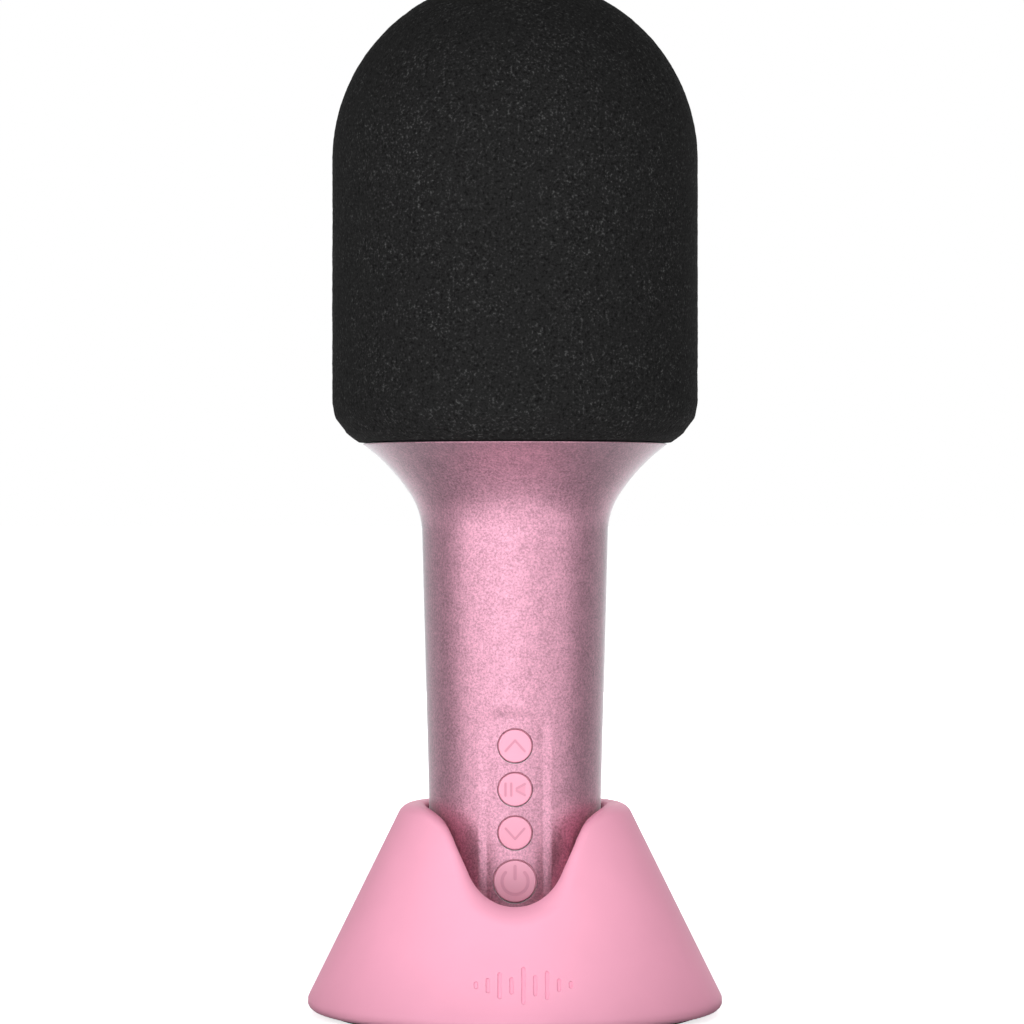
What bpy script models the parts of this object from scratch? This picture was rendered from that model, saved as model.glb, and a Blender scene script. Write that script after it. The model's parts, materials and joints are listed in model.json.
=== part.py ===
"""Wireless karaoke microphone with a foam windscreen, standing in its conical table stand.

Built in metres with +Z up. The origin is on the table, under the microphone's axis, and the
buttons face -Y. Every length below is in millimetres and is scaled by MM where it is used.
"""

import math

import bmesh
import bpy
from mathutils import Matrix, Vector

MM = 0.001
GAP = 0.3  # between pieces that touch

# Head
HEAD_RADIUS = 42.0
HEAD_CENTRE_Z = 195.3
FOAM_THICKNESS = 4.0
SEAM_Z = 130.6  # where the foam meets the handle
CAGE_RADIUS = 37.3
CAGE_THICKNESS = 1.2

# Handle: a slim taper with a trumpet-shaped flare under the head
HANDLE_BOTTOM_Z = 6.3
TAPER_TOP_Z = 110.3
TAPER_TOP_RADIUS = 21.34
TAPER_SLOPE = 0.0263
FLARE_LOWER_RADIUS = 14.9
FLARE_UPPER_RADIUS = 51.6
FLARE_JOIN_ANGLE = 33.0
HANDLE_WALL = 2.0

# Button panel and buttons: name, height on the handle, cap radius
PANEL_HALF_WIDTH = 7.4
PANEL_TOP_Z = 69.0
PANEL_BOTTOM_Z = 23.0
PANEL_CORNER = 4.6
PANEL_DEPTH = 0.5
BUTTONS = [("up", 62.2, 3.7), ("play", 52.4, 3.7), ("down", 42.6, 3.7), ("power", 31.7, 4.7)]
HOLE_CLEARANCE = 0.32
CAP_DEPTH = 0.4  # of the cap's face under the handle's surface
CAP_EDGE = 0.25
CAP_COLLAR = 0.8  # stands out from the cap, behind the handle's wall
CAP_POST_RADIUS = 2.0
PLUNGER_RADIUS = 1.7
BUTTON_BOARD_Z = 47.0  # height on the handle of the button board's frame

# Stand: a hollow cone with a socket inside, cut away in front of the buttons
STAND_BOTTOM_Z = 1.0
STAND_TOP_Z = 48.2
STAND_FOOT_RADIUS = 49.36  # of the cone's side, carried down to the table
STAND_SLOPE = 0.4925
STAND_CORNER = 2.6
STAND_CREST_ROUND = 2.3
STAND_WALL = 3.2
SOCKET_CLEARANCE = 0.6
SOCKET_FLOOR_Z = 4.9
SOCKET_WALL = 2.2
CUP_FLOOR_Z = 3.3  # underside of the socket's floor
CAVITY_TOP_Z = 42.0
CAVITY_SKIRT = 43.6  # radius of the cavity where it meets the base plate
NOTCH_CENTRE_Z = 39.05
NOTCH_RADIUS = 11.4
NOTCH_SHOULDER_X = 20.58
NOTCH_SHOULDER_RADIUS = 5.5
NOTCH_ANGLE = 64.0
CUP_NOTCH_DROP = 2.6  # the socket's front is cut this much lower than the outer shell
CUP_NOTCH_TOP_Z = 39.0
STAND_SCREW_CIRCLE = 33.0  # radius that the four base screws stand on
BOSS_RADIUS = 3.6
BOSS_HOLE_RADIUS = 1.6
BOSS_HOLE_TOP_Z = 13.0

# Inside the handle
BATTERY_Y = 6.8
BOARD_SCREWS = ((-8.5, 108.0), (8.5, 90.0))
END_CAP_SCREWS = ((-10, 1), (10, 1))
CHARGE_PORT_Y = -9.1

# Colours are sRGB, followed by metallic and roughness
FINISHES = {
    "pink_lacquer": ((236, 172, 198), 0.55, 0.36),
    "pink_satin": ((244, 178, 203), 0.0, 0.5),
    "pink_key": ((246, 184, 209), 0.0, 0.42),
    "black_foam": ((34, 34, 35), 0.0, 0.95),
    "black_plastic": ((28, 28, 30), 0.0, 0.5),
    "white_plastic": ((226, 226, 222), 0.0, 0.45),
    "dark_rubber": ((40, 38, 40), 0.0, 0.8),
    "steel": ((176, 178, 182), 1.0, 0.32),
    "zinc": ((150, 154, 160), 1.0, 0.4),
    "paper_cone": ((48, 46, 46), 0.0, 0.85),
    "copper": ((186, 112, 70), 1.0, 0.35),
    "ferrite": ((58, 58, 62), 0.1, 0.7),
    "circuit_green": ((24, 82, 52), 0.0, 0.4),
    "cell_wrap": ((34, 96, 158), 0.0, 0.4),
    "red_wire": ((178, 32, 30), 0.0, 0.5),
}

for leftover in list(bpy.data.objects):
    bpy.data.objects.remove(leftover, do_unlink=True)

parts = bpy.data.collections.new("karaoke_microphone")
cutters = bpy.data.collections.new("cutters")
for collection in (parts, cutters):
    bpy.context.scene.collection.children.link(collection)
cutters.hide_render = True


# ---------------------------------------------------------------- helpers


def linear(channel):
    """Scene-linear value of an sRGB channel from 0 to 255."""
    value = channel / 255
    return value / 12.92 if value <= 0.04045 else ((value + 0.055) / 1.055) ** 2.4


def paint(obj, finish):
    colour, metallic, roughness = FINISHES[finish]
    material = bpy.data.materials.new(obj.name)
    material.use_nodes = True
    shader = material.node_tree.nodes["Principled BSDF"]
    shader.inputs["Base Color"].default_value = (*map(linear, colour), 1)
    shader.inputs["Metallic"].default_value = metallic
    shader.inputs["Roughness"].default_value = roughness
    material.diffuse_color = shader.inputs["Base Color"].default_value
    obj.data.materials.append(material)


def add(name, data, finish=None, parent=None):
    """A new object: a part if it has a finish, otherwise a cutter."""
    obj = bpy.data.objects.new(name, data)
    if finish:
        parts.objects.link(obj)
        paint(obj, finish)
    else:
        cutters.objects.link(obj)
        obj.hide_render = True
        obj.display_type = "WIRE"
    obj.parent = parent
    return obj


def empty(name, matrix=None, parent=None):
    """A body's frame, which its pieces are parented to."""
    obj = bpy.data.objects.new(name, None)
    parts.objects.link(obj)
    obj.parent = parent
    obj.matrix_local = matrix or Matrix()
    return obj


def turn(name, outline, finish=None, parent=None, steps=20):
    """Turn (radius, height) points about Z: a solid if both ends are on the axis, or else a ring."""
    points = list(outline)
    following = points[1:] + points[:1]
    area = sum(a[0] * b[1] - b[0] * a[1] for a, b in zip(points, following))
    if area > 0:
        points.reverse()
    edges = [(i, i + 1) for i in range(len(points) - 1)]
    if points[0][0] > 0 or points[-1][0] > 0:
        edges.append((len(points) - 1, 0))
    mesh = bpy.data.meshes.new(name)
    mesh.from_pydata([(r * MM, 0, z * MM) for r, z in points], edges, [])
    obj = add(name, mesh, finish, parent)
    screw = obj.modifiers.new("turn", "SCREW")
    screw.steps = screw.render_steps = steps
    screw.use_merge_vertices = True
    screw.merge_threshold = 0.00001
    screw.use_smooth_shade = True
    return obj


def rod(name, radius, bottom, top, at=(0, 0), finish=None, parent=None, steps=16):
    """An upright cylinder."""
    mesh = bpy.data.meshes.new(name)
    shape = bmesh.new()
    middle = Matrix.Translation(Vector((at[0], at[1], (bottom + top) / 2)) * MM)
    bmesh.ops.create_cone(
        shape, cap_ends=True, segments=steps, radius1=radius * MM, radius2=radius * MM,
        depth=(top - bottom) * MM, matrix=middle,
    )
    shape.to_mesh(mesh)
    shape.free()
    return add(name, mesh, finish, parent)


def block(name, low, high, finish=None, parent=None, edge=0.0):
    """A box between two corners, with its edges rounded by a bevel if edge is set."""
    low, high = Vector(low), Vector(high)
    mesh = bpy.data.meshes.new(name)
    shape = bmesh.new()
    bmesh.ops.create_cube(shape, size=MM)
    size = high - low
    bmesh.ops.scale(shape, vec=size, verts=shape.verts)
    bmesh.ops.translate(shape, vec=(low + high) / 2 * MM, verts=shape.verts)
    shape.to_mesh(mesh)
    shape.free()
    obj = add(name, mesh, finish, parent)
    if edge:
        bevel = obj.modifiers.new("edges", "BEVEL")
        bevel.width = edge * MM
        bevel.segments = 2
    return obj


def curve_to_cutter(curve):
    """A curve as a closed mesh, which a Boolean can read. The curve is removed."""
    bpy.context.view_layer.update()
    evaluated = curve.evaluated_get(bpy.context.evaluated_depsgraph_get())
    mesh = bpy.data.meshes.new_from_object(evaluated)
    matrix = curve.matrix_world.copy()
    name = curve.name
    bpy.data.objects.remove(curve)
    mesh.name = name
    shape = bmesh.new()
    shape.from_mesh(mesh)
    bmesh.ops.remove_doubles(shape, verts=shape.verts, dist=0.000001)
    bmesh.ops.recalc_face_normals(shape, faces=shape.faces)
    shape.to_mesh(mesh)
    shape.free()
    obj = add(name, mesh)
    obj.matrix_world = matrix
    return obj


def extrude_forward(name, outline, near, far):
    """A cutter: an (x, z) outline as a solid from y = near to y = far."""
    curve = bpy.data.curves.new(name, "CURVE")
    curve.dimensions = "2D"
    curve.fill_mode = "BOTH"
    curve.extrude = abs(far - near) / 2 * MM
    spline = curve.splines.new("POLY")
    spline.points.add(len(outline) - 1)
    for point, (x, z) in zip(spline.points, outline):
        point.co = (x * MM, z * MM, 0, 1)
    spline.use_cyclic_u = True
    obj = add(name, curve)
    obj.matrix_world = Matrix.Translation((0, (near + far) / 2 * MM, 0)) @ Matrix.Rotation(
        math.radians(90), 4, "X"
    )
    return curve_to_cutter(obj)


def lead(name, points, finish, parent, radius=0.8):
    """A wire through the given points, smoothed by a curve read at even steps."""
    knots = [Vector(p) for p in points]
    path = [knots[0]]
    for i in range(len(knots) - 1):
        before = knots[max(i - 1, 0)]
        start, end = knots[i], knots[i + 1]
        after = knots[min(i + 2, len(knots) - 1)]
        for step in (1, 2):
            t = step / 2
            path.append(
                0.5 * (
                    2 * start + (end - before) * t
                    + (2 * before - 5 * start + 4 * end - after) * t**2
                    + (3 * start - before - 3 * end + after) * t**3
                )
            )
    curve = bpy.data.curves.new(name, "CURVE")
    curve.dimensions = "3D"
    curve.bevel_depth = radius * MM
    curve.bevel_resolution = 2
    curve.use_fill_caps = True
    spline = curve.splines.new("POLY")
    spline.points.add(len(path) - 1)
    for point, place in zip(spline.points, path):
        point.co = (*(place * MM), 1)
    return add(name, curve, finish, parent)


def combine(target, operation, *others):
    for other in others:
        boolean = target.modifiers.new(operation.lower() + "_" + other.name, "BOOLEAN")
        boolean.operation = operation
        boolean.solver = "EXACT"
        boolean.object = other
    return target


def cut(target, *others):
    return combine(target, "DIFFERENCE", *others)


def fuse(target, *others):
    return combine(target, "UNION", *others)


def arc(centre, radius, start, end, count):
    """Points (radius, height) on an arc. Angles in degrees, from outward towards up."""
    points = []
    for i in range(count + 1):
        angle = math.radians(start + (end - start) * i / count)
        points.append(
            (centre[0] + radius * math.cos(angle), centre[1] + radius * math.sin(angle))
        )
    return points


# ---------------------------------------------------------------- shared shapes


def handle_radius(z):
    """Outer radius of the handle's taper, below the flare."""
    return TAPER_TOP_RADIUS - TAPER_SLOPE * (TAPER_TOP_Z - z)


def handle_side(inset, bottom, top):
    """The handle's side from bottom to top, inset by a wall thickness: taper, then two arcs."""
    taper = math.degrees(math.atan(TAPER_SLOPE))
    first = (
        TAPER_TOP_RADIUS + FLARE_LOWER_RADIUS * math.cos(math.radians(taper)),
        TAPER_TOP_Z - FLARE_LOWER_RADIUS * math.sin(math.radians(taper)),
    )
    join = math.radians(FLARE_JOIN_ANGLE)
    extra = FLARE_UPPER_RADIUS - FLARE_LOWER_RADIUS
    second = (first[0] + extra * math.cos(join), first[1] - extra * math.sin(join))
    end = math.degrees(math.asin((top - second[1]) / (FLARE_UPPER_RADIUS + inset)))
    lower = arc(first, FLARE_LOWER_RADIUS + inset, 180 - taper, 180 - FLARE_JOIN_ANGLE, 4)
    upper = arc(second, FLARE_UPPER_RADIUS + inset, 180 - FLARE_JOIN_ANGLE, 180 - end, 4)
    return [(handle_radius(bottom) - inset, bottom), *lower, *upper[1:]]


def stand_side(z, inset=0.0):
    """Radius of the stand's cone at a height, inset by a wall thickness."""
    return STAND_FOOT_RADIUS - STAND_SLOPE * z - inset * math.hypot(1, STAND_SLOPE)


def notch_outline():
    """The stand's front opening: round at the bottom, flaring up into rounded shoulders."""
    shoulder_z = STAND_TOP_Z - NOTCH_SHOULDER_RADIUS
    right = arc((0, NOTCH_CENTRE_Z), NOTCH_RADIUS, -90, NOTCH_ANGLE - 90, 8)
    right += arc(
        (NOTCH_SHOULDER_X, shoulder_z), NOTCH_SHOULDER_RADIUS, NOTCH_ANGLE + 90, 90, 5
    )
    right.append((NOTCH_SHOULDER_X, STAND_TOP_Z + 10))
    return right + [(-x, z) for x, z in reversed(right[1:])]


def cup_notch_outline():
    """The lower opening in the front of the socket, behind the outer shell's notch."""
    right = arc(
        (0, NOTCH_CENTRE_Z - CUP_NOTCH_DROP), NOTCH_RADIUS, -90, NOTCH_ANGLE - 90, 8
    )
    end_x, end_z = right[-1]
    top_x = end_x + (CUP_NOTCH_TOP_Z - end_z) / math.tan(math.radians(NOTCH_ANGLE))
    right.append((top_x, CUP_NOTCH_TOP_Z))
    return right + [(-x, z) for x, z in reversed(right[1:])]


def rounded_rectangle(half_width, bottom, top, corner):
    outline = []
    for x, z, start in (
        (half_width - corner, top - corner, 0),
        (corner - half_width, top - corner, 90),
        (corner - half_width, bottom + corner, 180),
        (half_width - corner, bottom + corner, 270),
    ):
        outline += arc((x, z), corner, start, start + 90, 5)
    return outline


def panel_frame(z):
    """At the front of the handle at a height: X right, Y up the surface, Z straight out of it."""
    place = Vector((0, -handle_radius(z), z)) * MM
    tilt = math.atan(TAPER_SLOPE)
    return Matrix.Translation(place) @ Matrix.Rotation(math.radians(90) + tilt, 4, "X")


def cylinder_across(name, radius, near, far, x, z):
    """A cutter: a cylinder along Y from y = near to y = far."""
    obj = rod(name, radius, near, far, steps=12)
    obj.rotation_euler.x = math.radians(-90)
    obj.location = (x * MM, 0, z * MM)
    return obj


# ---------------------------------------------------------------- stand

stand = empty("stand")

foot_centre = (
    stand_side(STAND_BOTTOM_Z + STAND_CORNER, STAND_CORNER),
    STAND_BOTTOM_Z + STAND_CORNER,
)
lean = math.degrees(math.atan(STAND_SLOPE))
crest_z = STAND_TOP_Z - STAND_CREST_ROUND
crest_centre = (stand_side(crest_z, STAND_CREST_ROUND), crest_z)
socket_top = handle_radius(STAND_TOP_Z) + SOCKET_CLEARANCE
socket_bottom = handle_radius(SOCKET_FLOOR_Z) + SOCKET_CLEARANCE
stand_shell = turn(
    "stand_shell",
    [
        *arc(crest_centre, STAND_CREST_ROUND, 90, lean, 3),
        *arc(foot_centre, STAND_CORNER, lean, -90, 4),
        (0, STAND_BOTTOM_Z),
        (0, SOCKET_FLOOR_Z),
        (socket_bottom, SOCKET_FLOOR_Z),
        (socket_top - 0.03, STAND_TOP_Z - 1.0),
        (socket_top + 0.9, STAND_TOP_Z),
    ],
    "pink_satin", stand, steps=48,
)

cavity_bend_z = (stand_side(0, STAND_WALL) - CAVITY_SKIRT) / STAND_SLOPE
stand_cavity = turn(
    "stand_cavity",
    [
        (0, CUP_FLOOR_Z),
        (handle_radius(CUP_FLOOR_Z) + SOCKET_CLEARANCE + SOCKET_WALL, CUP_FLOOR_Z),
        (handle_radius(CAVITY_TOP_Z) + SOCKET_CLEARANCE + SOCKET_WALL, CAVITY_TOP_Z),
        (stand_side(CAVITY_TOP_Z, STAND_WALL), CAVITY_TOP_Z),
        (CAVITY_SKIRT, cavity_bend_z),
        (CAVITY_SKIRT, STAND_BOTTOM_Z - 2),
        (0, STAND_BOTTOM_Z - 2),
    ],
    steps=48,
)
notch = extrude_forward("stand_notch", notch_outline(), -5, -60)
cup_notch = extrude_forward("cup_notch", cup_notch_outline(), -5, -23.5)

screw_places = []
for index in range(4):
    angle = math.radians(45 + 90 * index)
    x, y = STAND_SCREW_CIRCLE * math.cos(angle), STAND_SCREW_CIRCLE * math.sin(angle)
    screw_places.append((x, y))
for index, place in enumerate(screw_places, 1):
    boss = rod(f"stand_boss_{index}", BOSS_RADIUS, CUP_FLOOR_Z, 34, place, steps=12)
    cut(stand_cavity, boss)
cut(stand_shell, notch, stand_cavity, cup_notch)

base_plate = turn(
    "stand_base_plate",
    [(0, 1.0), (CAVITY_SKIRT - GAP, 1.0), (CAVITY_SKIRT - GAP, 3.0), (0, 3.0)],
    "black_plastic", stand, steps=32,
)
for index, place in enumerate(screw_places, 1):
    boss_hole = rod(
        f"boss_hole_{index}", BOSS_HOLE_RADIUS, CUP_FLOOR_Z - 1, BOSS_HOLE_TOP_Z, place, steps=12
    )
    cut(stand_shell, boss_hole)
    cut(base_plate, rod(f"plate_hole_{index}", 1.7, 0, 4, place, steps=12))
    cut(base_plate, rod(f"plate_recess_{index}", 3.3, 0, 2.0, place, steps=12))
    fastener = turn(
        f"stand_screw_{index}",
        [(0, 0.9), (2.4, 0.9), (2.9, 1.2), (2.9, 1.7), (1.3, 1.7), (1.3, 11.4), (0.5, 12.4),
         (0, 12.4)],
        "zinc", stand, steps=12,
    )
    fastener.location = (place[0] * MM, place[1] * MM, 0)

turn(
    "stand_foot_ring",
    [(38.0, 0.0), (42.4, 0.0), (42.8, 0.3), (42.8, 0.7), (37.6, 0.7), (37.6, 0.3)],
    "dark_rubber", stand, steps=32,
)
turn(
    "stand_socket_pad",
    [(6.0, 5.2), (17.6, 5.2), (18.0, 5.5), (18.0, 6.0), (6.0, 6.0)],
    "dark_rubber", stand, steps=24,
)

# ---------------------------------------------------------------- microphone: head

microphone = empty("microphone", parent=stand)

foam_inner = HEAD_RADIUS - FOAM_THICKNESS
foam_bottom = SEAM_Z + GAP / 2
turn(
    "windscreen_foam",
    [
        *arc((0, HEAD_CENTRE_Z), HEAD_RADIUS, 90, 0, 8),
        (HEAD_RADIUS, 140.4),
        (41.5, 136.6),
        (39.0, 133.1),
        (35.8, foam_bottom),
        (34.2, foam_bottom),
        (34.2, 131.8),
        (foam_inner - 0.1, 135.0),
        *arc((0, HEAD_CENTRE_Z), foam_inner, 0, 90, 6),
    ],
    "black_foam", microphone, steps=48,
)

cage_inner = CAGE_RADIUS - CAGE_THICKNESS
cage = turn(
    "grille_cage",
    [
        *arc((0, HEAD_CENTRE_Z), CAGE_RADIUS, 90, 0, 5),
        (CAGE_RADIUS, 136.7),
        (cage_inner, 136.7),
        *arc((0, HEAD_CENTRE_Z), cage_inner, 0, 90, 5),
    ],
    "steel", microphone, steps=24,
)
for row, (low, high, half) in enumerate(((142, 163, 6), (169, 190, 6), (204, 221, 4))):
    for index in range(4):
        window = block(
            f"cage_window_{row}_{index}", (-half, -60, low), (half, 60, high)
        )
        window.rotation_euler.z = math.radians(45 * index)
        cut(cage, window)

turn(
    "head_collar",
    [
        (37.4, 136.4), (37.4, 135.1), (33.9, 132.0), (33.9, foam_bottom), (29.8, foam_bottom),
        (29.8, 129.0), (27.8, 129.0), (27.8, 132.6), (32.5, 132.6), (34.9, 134.8), (34.9, 136.4),
    ],
    "black_plastic", microphone, steps=24,
)
baffle = turn(
    "speaker_baffle",
    [
        (35.9, 152.0), (35.9, 150.0), (32.2, 150.0), (32.2, 132.9), (30.6, 132.9), (30.6, 150.0),
        (24.0, 150.0), (24.0, 152.0),
    ],
    "black_plastic", microphone, steps=24,
)
cut(baffle, rod("baffle_lead_hole", 1.3, 148, 154, (29.2, 0), steps=12))

# Speaker: basket, magnet and moving cone, facing up into the foam
turn(
    "speaker_basket",
    [
        (27.0, 153.5), (27.0, 152.3), (23.6, 152.3), (23.6, 149.0), (16.0, 138.6), (8.6, 138.6),
        (8.6, 139.8), (15.3, 139.8), (22.2, 149.4), (22.2, 153.5),
    ],
    "zinc", microphone,
)
turn(
    "speaker_top_plate",
    [(15.0, 138.3), (15.0, 136.3), (7.7, 136.3), (7.7, 138.3)],
    "zinc", microphone,
)
turn(
    "speaker_magnet",
    [(16.0, 135.4), (16.0, 124.7), (15.4, 124.1), (9.4, 124.1), (9.4, 136.0), (15.4, 136.0)],
    "ferrite", microphone,
)
turn(
    "speaker_pole",
    [(0, 138.2), (5.8, 138.2), (5.8, 123.8), (15.0, 123.8), (15.0, 121.8), (0, 121.8)],
    "zinc", microphone,
)
roll_centre_r = 22.3
turn(
    "speaker_surround",
    [
        (26.6, 153.8), (26.6, 154.3),
        *arc((roll_centre_r, 154.3), 1.9, 0, 180, 4),
        (18.8, 154.3), (18.8, 153.8),
        *arc((roll_centre_r, 153.8), 1.4, 180, 0, 4),
    ],
    "dark_rubber", microphone,
)

speaker_cone = empty("speaker_cone_body", parent=microphone)
turn(
    "speaker_cone",
    [
        (20.2, 153.5), (20.2, 153.0), (18.6, 153.0), (7.4, 142.2), (7.4, 143.1), (18.2, 153.5),
    ],
    "paper_cone", speaker_cone,
)
turn(
    "speaker_voice_coil",
    [(7.0, 144.6), (7.0, 130.0), (6.4, 130.0), (6.4, 144.6)],
    "copper", speaker_cone,
)
turn(
    "speaker_dust_cap",
    [
        (0, 148.4), (3.4, 148.0), (6.4, 146.9), (9.0, 145.2), (9.0, 144.9), (8.2, 144.9),
        (6.2, 146.0), (3.2, 147.1), (0, 147.5),
    ],
    "paper_cone", speaker_cone,
)

# Microphone capsule on a vented bracket above the speaker
bracket = turn(
    "capsule_bracket",
    [
        (11.5, 194.0), (11.5, 186.0), (33.6, 156.0), (34.6, 155.0), (34.6, 152.3), (31.6, 152.3),
        (31.6, 155.2), (9.6, 184.9), (9.6, 194.0),
    ],
    "black_plastic", microphone,
)
for index in range(3):
    vent = block(f"bracket_vent_{index}", (-5.5, -50, 158), (5.5, 50, 181))
    vent.rotation_euler.z = math.radians(30 + 60 * index)
    cut(bracket, vent)
turn(
    "capsule_mount",
    [
        (11.8, 196.0), (11.8, 194.3), (9.3, 194.3), (9.3, 186.5), (2.2, 186.5), (2.2, 188.2),
        (7.2, 188.2), (7.2, 196.0),
    ],
    "dark_rubber", microphone,
)
turn(
    "mic_capsule",
    [(0, 198.0), (6.2, 198.0), (6.9, 197.3), (6.9, 188.5), (0, 188.5)],
    "steel", microphone,
)

# ---------------------------------------------------------------- microphone: handle

handle_top = SEAM_Z - GAP / 2
handle = turn(
    "handle_shell",
    [
        (handle_radius(HANDLE_BOTTOM_Z) - 0.8, HANDLE_BOTTOM_Z),
        *handle_side(0.0, HANDLE_BOTTOM_Z + 0.8, handle_top),
        *reversed(handle_side(HANDLE_WALL, HANDLE_BOTTOM_Z, handle_top)),
    ],
    "pink_lacquer", microphone, steps=48,
)
panel_pocket = extrude_forward(
    "panel_pocket",
    rounded_rectangle(PANEL_HALF_WIDTH, PANEL_BOTTOM_Z, PANEL_TOP_Z, PANEL_CORNER),
    -10, -30,
)
panel_floor = turn(
    "panel_floor",
    [
        (0, PANEL_TOP_Z + 5), (handle_radius(PANEL_TOP_Z + 5) - PANEL_DEPTH, PANEL_TOP_Z + 5),
        (handle_radius(PANEL_BOTTOM_Z - 5) - PANEL_DEPTH, PANEL_BOTTOM_Z - 5),
        (0, PANEL_BOTTOM_Z - 5),
    ],
    steps=48,
)
cut(panel_pocket, panel_floor)
cut(handle, panel_pocket)

chassis = block("handle_chassis", (-11, -4.6, 14), (11, -2.8, 113), "black_plastic", microphone)
fuse(chassis, block("chassis_foot", (-13.5, -4.6, 11.9), (13.5, 5.4, 14.1)))
for index, place in enumerate(END_CAP_SCREWS, 1):
    fuse(chassis, rod(f"chassis_pillar_{index}", 2.8, 9.4, 12.5, place, steps=12))
    cut(chassis, rod(f"chassis_pilot_{index}", 1.5, 8, 16, place, steps=12))
for index, x in enumerate((-5.4, 4.2)):
    rib = block(f"chassis_rib_{index}", (x, -22, -16.2), (x + 1.2, 20, -10.8))
    rib.matrix_world = panel_frame(BUTTON_BOARD_Z)
    fuse(chassis, rib)
cut(chassis, block("chassis_window", (-3, -8, 82.2), (3, 0, 86.4)))

for index, (x, z) in enumerate(BOARD_SCREWS, 1):
    boss = block(f"board_boss_{index}", (x - 2.4, -3.4, z - 2.4), (x + 2.4, -1.8, z + 2.4))
    fuse(chassis, boss)

# Button stack: board and switches stand behind the panel, all tilted with the handle's front
board_frame = empty("button_board_frame", panel_frame(BUTTON_BOARD_Z), microphone)
block("button_board", (-7, -26.5, -10.5), (7, 25.0, -8.9), "circuit_green", board_frame)
for label, z, radius in BUTTONS:
    frame = panel_frame(z)
    hole = rod(f"hole_{label}", radius + HOLE_CLEARANCE, -6, 4, steps=24)
    hole.matrix_world = frame
    cut(handle, hole)
    seat = empty(f"switch_{label}_frame", frame, microphone)
    switch = block(f"switch_{label}", (-3, -3, -8.6), (3, 3, -6.0), "black_plastic", seat)
    switch_bore = rod(f"switch_bore_{label}", PLUNGER_RADIUS + 0.25, -7.9, -5, steps=12)
    switch_bore.matrix_world = frame
    cut(switch, switch_bore)
    body = empty(f"button_{label}", frame, microphone)
    turn(
        f"button_{label}_cap",
        [
            (0, -CAP_DEPTH), (radius - CAP_EDGE, -CAP_DEPTH), (radius, -CAP_DEPTH - CAP_EDGE),
            (radius, -3.3), (radius + CAP_COLLAR, -3.3), (radius + CAP_COLLAR, -4.1),
            (CAP_POST_RADIUS, -4.1), (CAP_POST_RADIUS, -5.0), (0, -5.0),
        ],
        "pink_key", body,
    )
    turn(
        f"button_{label}_plunger",
        [(0, -5.3), (PLUNGER_RADIUS, -5.3), (PLUNGER_RADIUS, -7.0), (0, -7.0)],
        "white_plastic", body, steps=12,
    )

# Battery and electronics
battery = turn(
    "battery_cell",
    [
        (0, 79.6), (2.8, 79.6), (2.8, 78.6), (8.4, 78.6), (9.2, 77.8), (9.2, 15.2), (8.6, 14.6),
        (0, 14.6),
    ],
    "cell_wrap", microphone,
)
battery.location.y = BATTERY_Y * MM
main_board = block("main_board", (-12, -1.5, 82), (12, 0.1, 112), "circuit_green", microphone)
block("bluetooth_module", (-1.5, 0.4, 94), (10.5, 2.4, 110), "zinc", microphone, edge=0.3)
block("amplifier_chip", (-10, 0.4, 93.5), (-3, 1.8, 100.5), "black_plastic", microphone)
for index, (x, z) in enumerate(((-5.5, 86.5), (1.3, 87.5)), 1):
    can = turn(
        f"capacitor_{index}",
        [(0, 9.4), (2.8, 9.4), (3.2, 9.0), (3.2, 0.4), (0, 0.4)],
        "steel", microphone, steps=16,
    )
    can.rotation_euler.x = math.radians(-90)
    can.location = (x * MM, 0, z * MM)
for index, (x, z) in enumerate(BOARD_SCREWS, 1):
    bore = cylinder_across(f"board_screw_bore_{index}", 1.4, -8, 3, x, z)
    cut(main_board, bore)
    cut(chassis, bore)
    fastener = turn(
        f"board_screw_{index}",
        [(0, 1.6), (1.6, 1.6), (2.1, 1.1), (2.1, 0.4), (1.1, 0.4), (1.1, -4.2), (0, -4.2)],
        "zinc", microphone, steps=12,
    )
    fastener.rotation_euler.x = math.radians(-90)
    fastener.location = (x * MM, 0, z * MM)

# Lower end: cap, charging socket and two screws
end_cap = turn(
    "end_cap",
    [
        (0, 9.1), (14.2, 9.1), (14.2, 11.5), (16.2, 11.5), (16.2, 7.3), (15.8, 6.9), (0, 6.9),
    ],
    "pink_satin", microphone,
)
slot_half = 2.0
port_slot = block(
    "port_slot", (-4.9, CHARGE_PORT_Y - slot_half, 5), (4.9, CHARGE_PORT_Y + slot_half, 10)
)
cut(end_cap, port_slot)
for index, place in enumerate(END_CAP_SCREWS, 1):
    cut(end_cap, rod(f"cap_recess_{index}", 2.7, 5, 8.4, place, steps=12))
    cut(end_cap, rod(f"cap_hole_{index}", 1.5, 5, 12, place, steps=12))
    fastener = turn(
        f"end_cap_screw_{index}",
        [(0, 7.0), (1.8, 7.0), (2.3, 7.4), (2.3, 8.1), (1.15, 8.1), (1.15, 13.4), (0, 13.4)],
        "zinc", microphone, steps=12,
    )
    fastener.location = (place[0] * MM, place[1] * MM, 0)

port_half, mouth_half = 1.6, 0.9
port = block(
    "charge_port", (-4.5, CHARGE_PORT_Y - port_half, 6.9), (4.5, CHARGE_PORT_Y + port_half, 14.2),
    "steel", microphone, edge=0.9,
)
port_mouth = block(
    "port_mouth", (-3.7, CHARGE_PORT_Y - mouth_half, 5), (3.7, CHARGE_PORT_Y + mouth_half, 12.8)
)
cut(port, port_mouth)
block("charge_board", (-7, -7.2, 9.6), (7, -5.8, 24.0), "circuit_green", microphone)

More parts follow.
